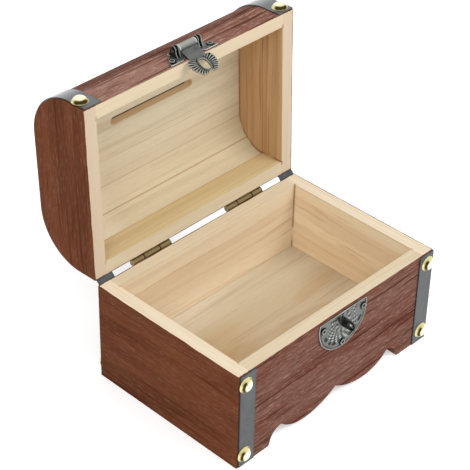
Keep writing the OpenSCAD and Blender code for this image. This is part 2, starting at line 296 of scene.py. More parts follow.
def new_group(name, number, outputs):
    """An empty shader group that takes a Vector and one number and gives numbers."""
    tree = bpy.data.node_groups.new(name, "ShaderNodeTree")
    tree.interface.new_socket(
        name="Vector", in_out="INPUT", socket_type="NodeSocketVector")
    tree.interface.new_socket(
        name=number, in_out="INPUT", socket_type="NodeSocketFloat")
    for output in outputs:
        tree.interface.new_socket(
            name=output, in_out="OUTPUT", socket_type="NodeSocketFloat")
    mixer = Mixer(tree)
    entry = mixer.node("NodeGroupInput").outputs
    leave = mixer.node("NodeGroupOutput").inputs
    return tree, mixer, entry, leave


def colour(red, green, blue):
    """A paint colour given as it looks on screen, 0 to 255, as linear light."""
    def linear(c):
        c /= 255
        return c / 12.92 if c <= 0.04045 else ((c + 0.055) / 1.055) ** 2.4
    return (linear(red), linear(green), linear(blue), 1)


# ---- Shader groups ----


def brushed_grain_group():
    """Wire-brushed grain along X: wavy grooves, hair cracks and pale flecks."""
    tree, m, entry, leave = new_group(
        "Brushed grain", "Seed", ("Groove", "Fleck", "Tone", "Height"))
    at = m.swayed(m.seeded(entry["Vector"], entry["Seed"]), 0.014, 2.4)
    wide = m.band(m.streaks(at, 0.011, 0.5), 0.57, 0.68)
    thin = m.band(m.streaks(at, 0.026, 1.7, 2.0, 0.55), 0.55, 0.66)
    groove = m.math("MAXIMUM", wide, m.times(thin, 0.75))
    dash = m.streaks(at, 0.2, 2.1, 3.0, 0.6)
    fleck = m.times(m.band(dash, 0.54, 0.62), m.minus(1.0, groove))
    height = m.minus(m.times(fleck, 0.3), groove)
    m.give(leave, Groove=groove, Fleck=fleck, Tone=m.streaks(at, 0.012, 0.09),
           Height=height)
    return tree


def bare_grain_group():
    """Planed pale softwood along X: long soft streaks, hair lines and fibres."""
    tree, m, entry, leave = new_group(
        "Bare grain", "Seed", ("Streak", "Hair", "Fibre", "Tone"))
    at = m.swayed(m.seeded(entry["Vector"], entry["Seed"]), 0.007, 4.0)
    m.give(leave, Streak=m.band(m.streaks(at, 0.004, 0.17), 0.48, 0.68),
           Hair=m.band(m.streaks(at, 0.007, 0.6, 2.0, 0.6), 0.60, 0.68),
           Fibre=m.streaks(at, 0.11, 3.0, 3.0, 0.6),
           Tone=m.streaks(at, 0.006, 0.035, 1.0))
    return tree


# How deep the bare rim goes, how far the bare inside reaches into a board and into
# the curved shell, and how far glue spreads from a corner and fades.
RIM_DEPTH = 0.45
BARE_MARGIN = 0.4
SHELL_MARGIN = 0.5
GLUE_SPREAD = (0.4, 0.95)


def inside_group(lid):
    """Masks of the bare inside, the rim, the glued corners and the board joints."""
    tree, m, entry, leave = new_group(
        "Bare inside of the lid" if lid else "Bare inside of the base",
        "Creep", ("Bare", "Rim", "Corner", "Joint"))
    at = m.split(entry["Vector"])
    side = m.math("ABSOLUTE", at[0])
    to_side = m.minus(BOX_W / 2, side)
    to_back = m.minus(BOX_D, at[1])
    edge = m.math("MINIMUM", to_side, m.math("MINIMUM", at[1], to_back))
    off_rim = at[2] if lid else m.minus(BASE_H, at[2])
    rim = m.times(m.math("LESS_THAN", off_rim, RIM_DEPTH),
                  m.math("GREATER_THAN", edge, entry["Creep"]))
    within = m.math("LESS_THAN", side, INNER_X + BARE_MARGIN)
    near_side = m.gap(side, INNER_X)
    near_board = m.gap(m.math("MINIMUM", at[1], to_back), BOARD_T)
    if lid:
        held = m.node("ShaderNodeClamp", {
            "Value": at[1], "Min": LID_R, "Max": BOX_D - LID_R}).outputs[0]
        rise = m.math("MAXIMUM", m.minus(at[2], LID_SIDE_H), 0.0)
        reach = m.length(m.minus(at[1], held), rise)
        hollow = m.math("LESS_THAN", reach, LID_R - SHELL_MARGIN)
        near_board = m.math("MINIMUM", near_board, m.gap(reach, LID_R - SHELL_T))
        joint = m.near(at[2], RAIL_H, 0.1, 0.45)
    else:
        hollow = m.times(m.math("GREATER_THAN", at[1], BOARD_T - BARE_MARGIN),
                         m.math("GREATER_THAN", to_back, BOARD_T - BARE_MARGIN))
        joint = m.near(at[2], FLOOR_TOP, 0.1, 0.5)
    tight, far = GLUE_SPREAD
    m.give(leave, Bare=m.math("MAXIMUM", rim, m.times(within, hollow)), Rim=rim,
           Corner=m.band(m.math("MAXIMUM", near_side, near_board), far, tight),
           Joint=joint)
    return tree


def rubbed_metal_group():
    """Cast or stamped metal, dark in its hollows and rubbed bright on its heights."""
    tree, m, entry, leave = new_group(
        "Rubbed metal", "Relief", ("Dark", "Rubbed", "Speck"))
    patch = m.noise(entry["Vector"], 4.0, 0.6, scale=0.35)
    speck = m.noise(entry["Vector"], 3.0, 0.7, scale=4.0)
    hollow = m.minus(1.0, entry["Relief"])
    dark = m.band(m.math("ADD", hollow, m.times(patch, 0.5)), 0.55, 1.05)
    raised = m.math("ADD", entry["Relief"], m.times(speck, 0.3))
    m.give(leave, Dark=dark, Rubbed=m.band(raised, 0.85, 1.15), Speck=speck)
    return tree


BRUSHED_GRAIN = brushed_grain_group()
BARE_GRAIN = bare_grain_group()
BASE_INSIDE = inside_group(False)
LID_INSIDE = inside_group(True)
RUBBED_METAL = rubbed_metal_group()


# ---- Materials ----


def new_material(name):
    material = bpy.data.materials.new(name)
    material.use_nodes = True
    material.node_tree.nodes.clear()
    m = Mixer(material.node_tree)
    shader = m.node("ShaderNodeBsdfPrincipled")
    out = m.node("ShaderNodeOutputMaterial", {"Surface": shader.outputs[0]})
    out.is_active_output = True
    return material, m, shader.inputs


def box_place(m, lid):
    """Millimetres from the middle, the front face and the table, or the shut lid's
    underside, at each point of a board of the base or of the open lid."""
    at = m.object_place()
    if not lid:
        return m.moved(at, (0, MID_Y, 0))
    axis = Vector((0, HINGE_Y, HINGE_Z))
    turned_axis = Matrix.Rotation(LID_OPEN, 3, "X") @ (axis - Vector((0, MID_Y, 0)))
    made = m.node("ShaderNodeMapping", {
        "Vector": at, "Location": axis - Vector((0, 0, LID_Z)) - turned_axis,
        "Rotation": (LID_OPEN, 0, 0)})
    return made.outputs[0]


def grain_place(m, place, across_box):
    """The same millimetres with the grain along X."""
    if not across_box:
        return place
    made = m.node("ShaderNodeMapping", {
        "Vector": place, "Rotation": (0, 0, -math.pi / 2)})
    return made.outputs[0]


# Each kind of stained face: its tone, its deep tone, how far it is rubbed and
# how dark its grooves are.
FRONT_STAIN = (colour(119, 80, 68), colour(106, 59, 45), 0.42, 0.75)
# The lid's front rail: a paler stain, partly rubbed flecks and partly painted light
# from above on its top.
RAIL_STAIN_AND_TOP_LIGHT = (colour(150, 110, 97), colour(127, 83, 69), 0.9, 0.65)
END_STAIN = (colour(113, 62, 34), colour(99, 51, 26), 0.16, 0.4)
STAIN_GROOVE = colour(62, 27, 17)
STAIN_RUBBED = colour(184, 150, 130)
GLUE = colour(136, 80, 46)
# The pale tone painted on the lid's shell as light, where the rail and the left end
# shade it.
SHELL_PAINTED_LIGHT = colour(255, 247, 224)
RIM_LINE = colour(202, 176, 142)
SLOT_CUT = colour(222, 192, 146)
FLOOR_ARCH = colour(184, 148, 98)

# Each kind of bare board: its pale tone, its warm tone, its lines and how clearly
# they show, and for a board that ends in the rim, the tone of its rim.
SHELL_WOOD = (colour(217, 206, 180), colour(204, 189, 158), colour(168, 138, 106),
              0.3, colour(220, 208, 180))
WALL_WOOD = (colour(235, 220, 194), colour(225, 206, 174), colour(194, 156, 118),
             0.4, colour(210, 194, 166))
# The base's side boards: paler bare wood, partly their own tone and partly painted
# light that makes up for the shade on their inner faces.
SIDE_WOOD_AND_PAINTED_LIGHT = (colour(249, 232, 202), colour(242, 218, 182), colour(206, 166, 126),
             0.4, colour(223, 208, 184))
RAIL_WOOD = (colour(214, 197, 158), colour(199, 174, 128), colour(164, 128, 84),
             0.3, colour(216, 202, 176))
DARK_WOOD = (colour(212, 179, 139), colour(189, 149, 107), colour(138, 96, 62),
             0.5, colour(211, 197, 176))
FLOOR_WOOD = (colour(214, 202, 179), colour(198, 182, 153), colour(160, 134, 104),
              0.35)

# The lid's top inside, from the front and from the middle: where its painted light
# fades in, a paler tone painted where the rail and the left end shade it, and where its
# planks meet and how dark. Its slot's walls are stained from the top down, and fade
# between two depths under the crown.
PAINTED_LIGHT_FRONT = (44.0, 8.0)
PAINTED_LIGHT_LEFT = (-30.0, -66.0)
PLANK_JOINTS = ((75.5, 0.3), (88, 0.45))
SLOT_MARGIN = 0.12
SLOT_STAIN = (2.6, 1.6)


def stained_colour(m, brushed, stain):
    """A stained face: light and deep patches, rubbed flecks and dark grooves."""
    light, deep, rubbed, cut = stain
    tone = m.tint(m.band(brushed["Tone"], 0.35, 0.65), light, deep)
    pale = m.tint(m.times(brushed["Fleck"], rubbed), tone, STAIN_RUBBED)
    return m.tint(m.times(brushed["Groove"], cut), pale, STAIN_GROOVE)


def bare_colour(m, grain, seed, wood):
    """Colour and fibre height of bare pale wood."""
    pale, warm, line, clear = wood[:4]
    marks = m.group(BARE_GRAIN, Vector=grain, Seed=seed)
    tone = m.tint(m.band(marks["Tone"], 0.3, 0.7), pale, warm)
    streaked = m.tint(m.times(marks["Streak"], 0.26), tone, line)
    lined = m.tint(m.times(marks["Hair"], clear), streaked, line)
    fibre = m.times(m.band(marks["Fibre"], 0.54, 0.7), 0.3)
    return m.tint(fibre, lined, line), marks["Fibre"]


def rim_colour(m, grain, in_rim, bare, rim):
    """The cut rim over a board's bare colour, in its own tone with fine lines."""
    bare = m.tint(m.times(in_rim, 0.75), bare, rim)
    at = m.swayed(m.scaled(grain, (0.02, 0.8, 0.8)), 0.3, 1.0)
    lines = m.times(m.band(m.noise(at, 3.0, 0.6), 0.52, 0.64), 0.35)
    return m.tint(m.times(in_rim, lines), bare, RIM_LINE)


def glued_colour(m, place, at, inside, bare):
    """Patches of glue in the corners, more on the right, and a line at the joint."""
    right = m.between(m.math("GREATER_THAN", at[0], 0.0), 0.3, 0.6)
    patchy = m.band(m.noise(place, 3.0, scale=0.09), 0.3, 0.5)
    bare = m.tint(m.times(m.times(inside["Corner"], patchy), right), bare, GLUE)
    return m.tint(m.times(inside["Joint"], 0.5), bare, GLUE)


def shell_colour(m, at, bare):
    """The lid's top inside: painted light near its front rail and its left end, its
    plank joints and its slot's walls.
    """
    # Painted light: the shell is painted paler near the rail and near the left end,
    # where they shade it.
    left = m.times(m.band(at[0], *PAINTED_LIGHT_LEFT), 0.6)
    painted_light = m.math("MAXIMUM", m.band(at[1], *PAINTED_LIGHT_FRONT), left)
    bare = m.tint(m.times(painted_light, 0.95), bare, SHELL_PAINTED_LIGHT)
    for y, strength in PLANK_JOINTS:
        bare = m.tint(m.times(m.near(at[1], y, 0.1, 0.5), strength), bare, GLUE)
    side = m.math("ABSOLUTE", at[0])
    past = m.math("MAXIMUM", m.minus(side, (SLOT_L - SLOT_W) / 2), 0.0)
    reach = m.length(past, m.minus(at[1], SLOT_Y))
    in_slot = m.math("LESS_THAN", reach, SLOT_W / 2 + SLOT_MARGIN)
    low, high = (LID_SIDE_H + LID_R - depth for depth in SLOT_STAIN)
    bare = m.tint(m.times(in_slot, 0.8), bare, SLOT_CUT)
    return m.tint(m.times(in_slot, m.band(at[2], low, high)), bare, STAIN_GROOVE)


def board_finish(name, wood, stain, seed, lid=False, across_box=False, shell=False):
    """A board stained and wire-brushed outside and left bare inside."""
    material, m, skin = new_material(name)
    place = box_place(m, lid)
    at = m.split(place)
    grain = grain_place(m, place, across_box)
    brushed = m.group(BRUSHED_GRAIN, Vector=grain, Seed=seed)
    creep = m.times(m.streaks(grain, 0.08, 0.6), 0.9)
    inside = m.group(LID_INSIDE if lid else BASE_INSIDE, Vector=place, Creep=creep)
    bare, fibre = bare_colour(m, grain, seed, wood)
    bare = rim_colour(m, grain, inside["Rim"], bare, wood[4])
    bare = glued_colour(m, place, at, inside, bare)
    if shell:
        bare = shell_colour(m, at, bare)
    is_bare = inside["Bare"]
    stained = stained_colour(m, brushed, stain)
    m.feed(skin["Base Color"], m.tint(is_bare, stained, bare))
    rough = m.between(brushed["Groove"], 0.58, 0.8)
    m.feed(skin["Roughness"], m.between(is_bare, rough, 0.62))
    skin["Specular IOR Level"].default_value = 0.06
    height = m.between(is_bare, brushed["Height"], m.times(fibre, 0.25))
    m.bump(skin, height, 0.6, 0.22)
    return material


# Where the floor board's arched grain fades in, from the front, and where it browns
# towards its left, from the middle, and towards its front.
ARCHES_FRONT = (76.0, 50.0)
BROWN_LEFT = (8.0, -26.0)
BROWN_FRONT = (88.0, 52.0)


def bare_floor_finish(seed):
    """The bare floor board, browner towards the front left, with arched grain."""
    material, m, skin = new_material("bare_floor_board")
    place = box_place(m, False)
    at = m.split(place)
    bare, fibre = bare_colour(m, place, seed, FLOOR_WOOD)
    arches = m.noise(m.swayed(m.scaled(place, (0.02, 0.11, 0.11)), 0.35, 0.9))
    arches = m.math("ADD", m.times(m.band(arches, 0.45, 0.6), 0.35), 0.2)
    bare = m.tint(m.times(arches, m.band(at[1], *ARCHES_FRONT)), bare, FLOOR_ARCH)
    corner = m.times(m.band(at[0], *BROWN_LEFT), m.band(at[1], *BROWN_FRONT))
    bare = m.tint(m.times(corner, 0.42), bare, FLOOR_ARCH)
    m.feed(skin["Base Color"], bare)
    skin["Roughness"].default_value = 0.6
    m.bump(skin, fibre, 0.25, 0.1)
    return material


LEATHER_DEEP = colour(52, 57, 60)
LEATHER_PALE = colour(71, 76, 78)
# A paler tone painted over the lid's crown as the leather's sheen.
LEATHER_PAINTED_SHEEN = colour(114, 119, 121)
LEATHER_FLECK = colour(40, 42, 45)
LEATHER_EDGE = colour(26, 28, 31)

# How far above the lid's upright sides its leather is fully painted with sheen.
PAINTED_SHEEN_RISE = 9


def leather_finish(name, coat, sheen, over_lid=False):
    """Slate leather with dark cut edges, and a sheen painted paler where it goes over
    the lid.
    """
    material, m, skin = new_material(name)
    place = m.object_place()
    pebble = m.node("ShaderNodeTexVoronoi", {"Vector": place, "Scale": 1.5},
                    feature="DISTANCE_TO_EDGE").outputs["Distance"]
    crease = m.band(pebble, 0.0, 0.12)
    cloud = m.noise(place, 3.0, 0.6, scale=0.12)
    fine = m.noise(place, 3.0, 0.6, scale=2.5)
    tone = m.tint(m.band(cloud, 0.3, 0.7), LEATHER_DEEP, LEATHER_PALE)
    # Painted sheen: the leather over the lid's crown is painted paler.
    if over_lid:
        up = m.split(box_place(m, True))[2]
        worn = m.band(up, LID_SIDE_H, LID_SIDE_H + PAINTED_SHEEN_RISE)
        tone = m.tint(worn, tone, LEATHER_PAINTED_SHEEN)
    x = m.split(place)[0]
    left = m.math("LESS_THAN", x, 0.0)
    middle = m.between(left, STRAP_MIDDLE["right"], STRAP_MIDDLE["left"])
    edge = m.band(m.gap(x, middle), STRAP_W / 2 - 1.0, STRAP_W / 2 - 0.1)
    flecked = m.tint(m.times(m.band(fine, 0.5, 0.8), 0.4), tone, LEATHER_FLECK)
    m.feed(skin["Base Color"], m.tint(m.times(edge, 0.6), flecked, LEATHER_EDGE))
    m.feed(skin["Roughness"], m.between(cloud, 0.34, 0.5))
    skin["Coat Weight"].default_value = coat
    skin["Coat Roughness"].default_value = 0.2
    skin["Sheen Weight"].default_value = sheen
    skin["Sheen Roughness"].default_value = 0.2
    m.bump(skin, m.math("ADD", m.times(crease, 0.6), fine), 0.35, 0.08)
    return material


# The relief of metal whose mesh has no hollows.
EVEN_RELIEF = 0.62


def metal_finish(name, bright, dull, dark, roughness, metallic=0.85, hollows=True,
                 knuckles=False, pitted=0.2):
    """Metal with dark hollows and rubbed heights, from the relief of its mesh where
    it has hollows, and with dark gaps where it has hinge knuckles."""
    material, m, skin = new_material(name)
    place = m.object_place()
    raised = EVEN_RELIEF
    if hollows:
        raised = m.node("ShaderNodeAttribute", attribute_name="relief").outputs["Fac"]
    worn = m.group(RUBBED_METAL, Vector=place, Relief=raised)
    body = m.tint(worn["Rubbed"], m.tint(worn["Dark"], dull, dark), bright)
    if knuckles:
        along = m.gap(m.math("ABSOLUTE", m.split(place)[0]), HINGE_X)
        gap = m.near(along, KNUCKLE_L / 2 + 0.1, 0.22, 0.55)
        body = m.tint(m.times(gap, 0.9), body, dark)
    m.feed(skin["Base Color"], body)
    rough = m.between(worn["Speck"], roughness - 0.08, roughness + 0.12)
    m.feed(skin["Roughness"], rough)
    skin["Metallic"].default_value = metallic
    m.bump(skin, worn["Speck"], pitted, 0.05)
    return material


BASE_LONG = board_finish("base_board_along", WALL_WOOD, FRONT_STAIN, 3.0)
BASE_CROSS = board_finish("base_board_across", SIDE_WOOD_AND_PAINTED_LIGHT, END_STAIN, 17.0,
                          across_box=True)
LID_LONG = board_finish("lid_rail_front", WALL_WOOD, RAIL_STAIN_AND_TOP_LIGHT, 29.0, lid=True)
LID_BACK = board_finish("lid_rail_back", RAIL_WOOD, FRONT_STAIN, 37.0, lid=True)
LID_SHELL = board_finish("lid_shell_board", SHELL_WOOD, FRONT_STAIN, 41.0, lid=True,
                         shell=True)
LID_CROSS = board_finish("lid_board_across", DARK_WOOD, END_STAIN, 53.0, lid=True,
                         across_box=True)
BARE_FLOOR = bare_floor_finish(61.0)
LEATHER = leather_finish("slate_leather", coat=0.06, sheen=0.0)
LID_LEATHER = leather_finish("slate_leather_over_lid", coat=0.9, sheen=0.9,
                             over_lid=True)
# The brass's dark tone shows where the domes carry their painted dark reflection.
BRASS = metal_finish("polished_brass", colour(255, 252, 226), colour(226, 216, 158),
                     colour(66, 56, 24), 0.14, metallic=1.0, pitted=0.03)
BRONZE = metal_finish("aged_hinge_brass", colour(186, 168, 120), colour(141, 124, 86),
                      colour(30, 24, 15), 0.38, hollows=False, knuckles=True)
PEWTER = metal_finish("aged_pewter", colour(204, 205, 195), colour(114, 118, 114),
                      colour(30, 29, 26), 0.36)
PEWTER_PLAIN = metal_finish("plain_pewter", colour(176, 180, 176),
                            colour(112, 117, 112), colour(44, 46, 46), 0.4,
                            hollows=False)

FINISHES = {
    "base_front_panel": BASE_LONG,
    "base_back_panel": BASE_LONG,
    "base_bottom_panel": BARE_FLOOR,
    "lid_front_rail": LID_LONG,
    "lid_back_rail": LID_BACK,
    "lid_top_shell": LID_SHELL,
    "hinge_base_nails": BRONZE,
    "hinge_lid_nails": BRONZE,
    "hinge_pins": BRONZE,
    "hasp_pin": PEWTER_PLAIN,
}
for side in ("left", "right"):
    FINISHES.update({
        f"base_{side}_side": BASE_CROSS,
        f"lid_{side}_end": LID_CROSS,
        f"base_front_strap_{side}": LEATHER,
        f"base_back_strap_{side}": LEATHER,
        f"lid_strap_{side}": LID_LEATHER,
        f"hinge_base_leaf_{side}": BRONZE,
        f"hinge_lid_leaf_{side}": BRONZE,
    })

# How wide the edges are rounded, in millimetres, and the angle that makes an edge.
EDGE_ROUND = {"board": 0.35, "strap": 0.3, "metal": 0.12}
EDGE_ANGLE = math.radians(40)


def finish_node(node, material):
    """Gives a CAD node its material and a small round on its edges."""
    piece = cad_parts[node]
    piece.data.materials.clear()
    piece.data.materials.append(material)
    kind = "board"
    if "strap" in node:
        kind = "strap"
    elif material in (BRONZE, PEWTER_PLAIN):
        kind = "metal"
    edge = piece.modifiers.new("rounded edges", "BEVEL")
    edge.width = EDGE_ROUND[kind] * MM
    edge.segments = 2
    edge.limit_method = "ANGLE"
    edge.angle_limit = EDGE_ANGLE


for node, material in FINISHES.items():
    finish_node(node, material)


# ---- Mesh shapes ----

# The angle from which an edge of a new mesh shows as a sharp one.
SHARP_ANGLE = math.radians(38)


class Shape:
    """A mesh in millimetres whose points know how raised or hollow they are."""

    def __init__(self):
        self.mesh = bmesh.new()
        self.relief = self.mesh.verts.layers.float.new("relief")

    def point(self, place, relief=0.6):
        made = self.mesh.verts.new(place)
        made[self.relief] = relief
        return made

    def join(self, a, b):
        """Quads between two closed rings of points."""
        for i in range(len(a)):
            j = (i + 1) % len(a)
            self.mesh.faces.new((a[i], a[j], b[j], b[i]))

    def chain(self, rings):
        for a, b in zip(rings, rings[1:]):
            self.join(a, b)

    def close(self, ring, tip):
        """Triangles from a closed ring to one point."""
        for i in range(len(ring)):
            self.mesh.faces.new((ring[i], ring[(i + 1) % len(ring)], tip))

    def piece(self, name, material, slot):
        bmesh.ops.recalc_face_normals(self.mesh, faces=self.mesh.faces)
        mesh = bpy.data.meshes.new(name)
        self.mesh.to_mesh(mesh)
        self.mesh.free()
        for face in mesh.polygons:
            face.use_smooth = True
        mesh.set_sharp_from_angle(angle=SHARP_ANGLE)
        mesh.materials.append(material)
        made = add_object(name, mesh)
        return made

    def stand_in(self, name, body, node, material=PEWTER, slot="antique_pewter"):
        """Makes the piece, which rides on a body and replaces a CAD node."""
        piece = self.piece(name, material, slot)
        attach(piece, body)
        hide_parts(node)


def smooth(value, low, high):
    """0 at low, 1 at high, smooth between them."""
    t = min(max((value - low) / (high - low), 0.0), 1.0)
    return t * t * (3 - 2 * t)


def hump(value, middle, half):
    """1 at the middle, 0 a half width away from it."""
    return 1 - smooth(abs(value - middle), 0.0, half)


def polar(centre, angle, r):
    """The point at an angle and a distance from a centre."""
    return centre[0] + r * math.cos(angle), centre[1] + r * math.sin(angle)


# The search for an outline starts this far out, and halves its range so often.
SEARCH_REACH = 40.0
SEARCH_STEPS = 26


def reach_of(inside, centre):
    """How far an outline lies from a centre, as a function of the angle."""
    def reach(angle):
        low, high = 0.0, SEARCH_REACH
        for _ in range(SEARCH_STEPS):
            half = (low + high) / 2
            if inside(*polar(centre, angle, half)):
                low = half
            else:
                high = half
        return low
    return reach


def cast_plate(shape, place, centre, reach, hole, thick, surface, spokes, rings,
               edge=0.14, bore=0.25, worn=1.0):
    """A plate with its back at w = 0, worked on its front, with rounded edges.

    place takes u, v and w to the box. reach and hole give the outline and the
    opening at each angle, and surface gives a height and a relief at each point.
    edge is how far the edges are rounded, and bore and worn are the relief inside
    the opening and along the outline.
    """
    angles = [2 * math.pi * i / spokes for i in range(spokes)]
    outer = [reach(a) for a in angles]
    inner = [hole(a) for a in angles] if hole else [0.0] * spokes

    def ring(radii, depth, relief):
        return [shape.point(place(*polar(centre, a, r), depth), relief)
                for a, r in zip(angles, radii)]

    rows = []
    if hole:
        rows.append(ring(inner, edge, 0.3))
        rows.append(ring(inner, thick - edge, bore))
    for k in range(0 if hole else 1, rings + 1):
        row = []
        for a, r0, r1 in zip(angles, inner, outer):
            low = r0 + (edge if hole else 0.0)
            r = low + (r1 - edge - low) * k / rings
            u, v = polar(centre, a, r)
            height, relief = surface(u, v, r1 - r, r - r0, a)
            row.append(shape.point(place(u, v, thick + height), relief))
        rows.append(row)
    rows.append(ring(outer, thick - edge, worn))
    rows.append(ring(outer, edge, worn / 2))
    rows.append(ring([r - edge for r in outer], 0.0, 0.3))
    if hole:
        rows.append(ring([r + edge for r in inner], 0.0, 0.3))
        shape.chain(rows + [rows[0]])
    else:
        shape.chain(rows)
        height, relief = surface(*centre, outer[0], 0.0, 0.0)
        shape.close(rows[0], shape.point(place(*centre, thick + height), relief))
        shape.close(rows[-1], shape.point(place(*centre, 0.0), 0.3))


# The painted dark reflection is full from this cosine up, and fades over this part of
# the radius.
DARK_REFLECTION_FULL = 0.85
DARK_REFLECTION_FADE = 0.26


def turned(shape, place, profile, steps, dark_reflection=None):
    """A turned head from (radius, height, relief) rows, the last on the axis.

    The last argument gives a painted dark reflection, an arc where the head is painted
    dark: the degrees round the head, the part of its radius, the cosine at the arc's
    ends and how dark the rest of that ring is painted.
    """
    rings = []
    widest = max(row[0] for row in profile)
    for r, h, relief in profile[:-1]:
        ring = []
        for i in range(steps):
            a = 2 * math.pi * i / steps
            dull = 0.0
            # Painted dark reflection: points in the arc lose relief, so they render
            # dark.
            if dark_reflection:
                degrees, part, ends, rest = dark_reflection
                turn = math.cos(a - math.radians(degrees))
                dull = rest + (1 - rest) * smooth(turn, ends, DARK_REFLECTION_FULL)
                dull *= hump(r / widest, part, DARK_REFLECTION_FADE)
            spot = place(*polar((0, 0), a, r), h)
            ring.append(shape.point(spot, relief * (1 - dull)))
        rings.append(ring)
    shape.chain(rings)
    _, h, relief = profile[-1]
    shape.close(rings[-1], shape.point(place(0, 0, h), relief))
    shape.close(rings[0], shape.point(place(0, 0, profile[0][1]), 0.2))


# ---- Nails ----

# How far in and how far up from the flange's edge a dome starts, its steps upwards,
# and the points round a dome and round a ring head.
FLANGE_W = 0.22
FLANGE_T = 0.22
DOME_STEPS = 15
DOME_POINTS = 56
RING_POINTS = 40


def dome_profile():
    """A polished dome over a thin pressed flange."""
    base_r, rise = DOME_R - FLANGE_W, DOME_H - FLANGE_T
    ball = (base_r ** 2 + rise ** 2) / (2 * rise)
    wide = math.asin(base_r / ball)
    # Relief that rises to the top of the dome and stays high on the flange's rim: a
    # painted highlight.
    rows = [(DOME_R - 0.05, 0.0, 0.3), (DOME_R, 0.08, 0.6), (DOME_R - 0.08, 0.2, 0.8)]
    for i in range(DOME_STEPS):
        t = wide * (1 - i / DOME_STEPS)
        rows.append((ball * math.sin(t), FLANGE_T + rise - ball * (1 - math.cos(t)),
                     0.7 + 0.3 * smooth(i, 0, 9)))
    return rows + [(0, DOME_H, 1.0)]


# Heights of the domes on the base, and on the lid at the left and the right.
DOME_HEIGHTS = (7.7, BASE_H - 6.7)
LID_DOME_HEIGHTS = (7.5, 5.5)

# The painted dark reflection on the domes, as a turned head takes it.
BASE_DARK_REFLECTION = (172, 0.7, 0.12, 0.12)
LID_DARK_REFLECTION = (240, 0.82, 0.2, 0.1)

# Nail places on the two plates, from the middle of the latch.
CATCH_NAIL_R = 15.4
CATCH_NAILS = ((-CATCH_NAIL_R, CATCH_Z), (0, CATCH_Z - CATCH_NAIL_R),
               (CATCH_NAIL_R, CATCH_Z))
HASP_NAILS = ((-13.6, 3.2), (13.6, 3.2))

# A nail head with a raised ring round a hollow: radius, height, relief.
RING_HEAD = (
    (TACK_R - 0.1, 0.0, 0.0), (TACK_R, 0.25, 0.15), (TACK_R - 0.12, 0.6, 0.62),
    (TACK_R - 0.4, TACK_H, 0.95), (TACK_R - 0.65, TACK_H - 0.1, 0.7),
    (TACK_R - 0.9, 0.45, 0.05), (0.45, 0.38, 0.0), (0.2, 0.5, 0.3), (0, 0.55, 0.35),
)


def painted_shade_round_nails(u, v, spots):
    """1 in the painted shade round a nail head, 0 beyond it."""
    return max(1 - smooth(math.hypot(u - x, v - z), TACK_R + 0.1, TACK_R + 0.9)
               for x, z in spots)


def front_spots(at, places, out):
    """Spots on a front face, as place functions of two sides and a height."""
    return [lambda u, v, w, x=x, z=z: at(x + u, -out - w, z + v) for x, z in places]


def back_spots(places):
    return [lambda u, v, w, x=x, z=z: base_at(x + u, BOX_D + STRAP_T + w, z + v)
            for x, z in places]


def dome_nails(name, body, node, spots, dark_reflection):
    shape = Shape()
    for spot in spots:
        turned(shape, spot, dome_profile(), DOME_POINTS, dark_reflection)
    shape.stand_in(name, body, node, BRASS, "brass_dome")


def ring_nails(name, body, node, spots):
    shape = Shape()
    for spot in spots:
        turned(shape, spot, RING_HEAD, RING_POINTS)
    shape.stand_in(name, body, node)


def on_latch(places):
    return [(LATCH_X + x, z) for x, z in places]


def make_nails():
    sides = (-DOME_X, DOME_X)
    spots = front_spots(base_at, [(x, z) for x in sides for z in DOME_HEIGHTS], STRAP_T)
    spots += back_spots([(x, DOME_HEIGHTS[0]) for x in sides])
    dome_nails("base_domes", "base", "base_dome_nails", spots, BASE_DARK_REFLECTION)
    spots = front_spots(lid_at, zip(sides, LID_DOME_HEIGHTS), STRAP_T)
    dome_nails("lid_domes", "lid", "lid_dome_nails", spots, LID_DARK_REFLECTION)
    spots = front_spots(base_at, on_latch(CATCH_NAILS), PLATE_T)
    ring_nails("catch_ring_nails", "base", "catch_nails", spots)
    spots = front_spots(lid_at, on_latch(HASP_NAILS), PLATE_T)
    ring_nails("hasp_ring_nails", "lid", "hasp_nails", spots)


# ---- Catch ----

# The catch plate is a half disc with round lobes on its rim, cut off under the
# base's rim. Leaves are struck into it near the lobes: degrees and half lengths.
CATCH_MIDDLE = (0, CATCH_Z)
CATCH_R = 18.35
CATCH_TOP = BASE_H - 1.3
LOBE_OUT = 14.3
LOBE_R = 4.2
LEAF_OUT = 14.8
LEAF_HALF_W = 1.25
LEAVES = ((-28, 2.3), (-48, 1.5), (-64, 2.3), (-116, 2.3), (-132, 1.5), (-152, 2.3))

# The rest of the struck work goes in rings round the lug: a rose, by its middle and
# half width, and scrolls between two fades. It fades to plain metal towards the two
# upper corners.
ROSE_RING = (5.0, 3.0)
SCROLLS_IN = (6.8, 8.2)
SCROLLS_OUT = (12.2, 13.4)
PLAIN_SIDE = (8.0, 11.5)
PLAIN_TOP = (CATCH_Z - 7, CATCH_Z - 1)

# The hole in the lug for a lock, and how far its round end keeps inside the solid.
LOCK_HOLE_R = 1.7
LUG_CLEAR = 0.01


def in_circle(u, v, x, z, r):
    return (u - x) ** 2 + (v - z) ** 2 < r * r


def round_catch(turn, out):
    return polar(CATCH_MIDDLE, math.radians(turn), out)


def in_catch(u, v):
    lobes = any(in_circle(u, v, *round_catch(turn, LOBE_OUT), LOBE_R)
                for turn in range(-180, 1, 30))
    return v < CATCH_TOP and (in_circle(u, v, 0, CATCH_Z, CATCH_R) or lobes)


def dent(u, v, x, z, half_long, half_wide, tilt):
    """1 in the middle of a leaf-shaped dent, 0 outside it."""
    c, s = math.cos(tilt), math.sin(tilt)
    du, dv = u - x, v - z
    along, across = (c * du + s * dv) / half_long, (c * dv - s * du) / half_wide
    return 1 - smooth(math.hypot(along, across), 0.55, 1.0)


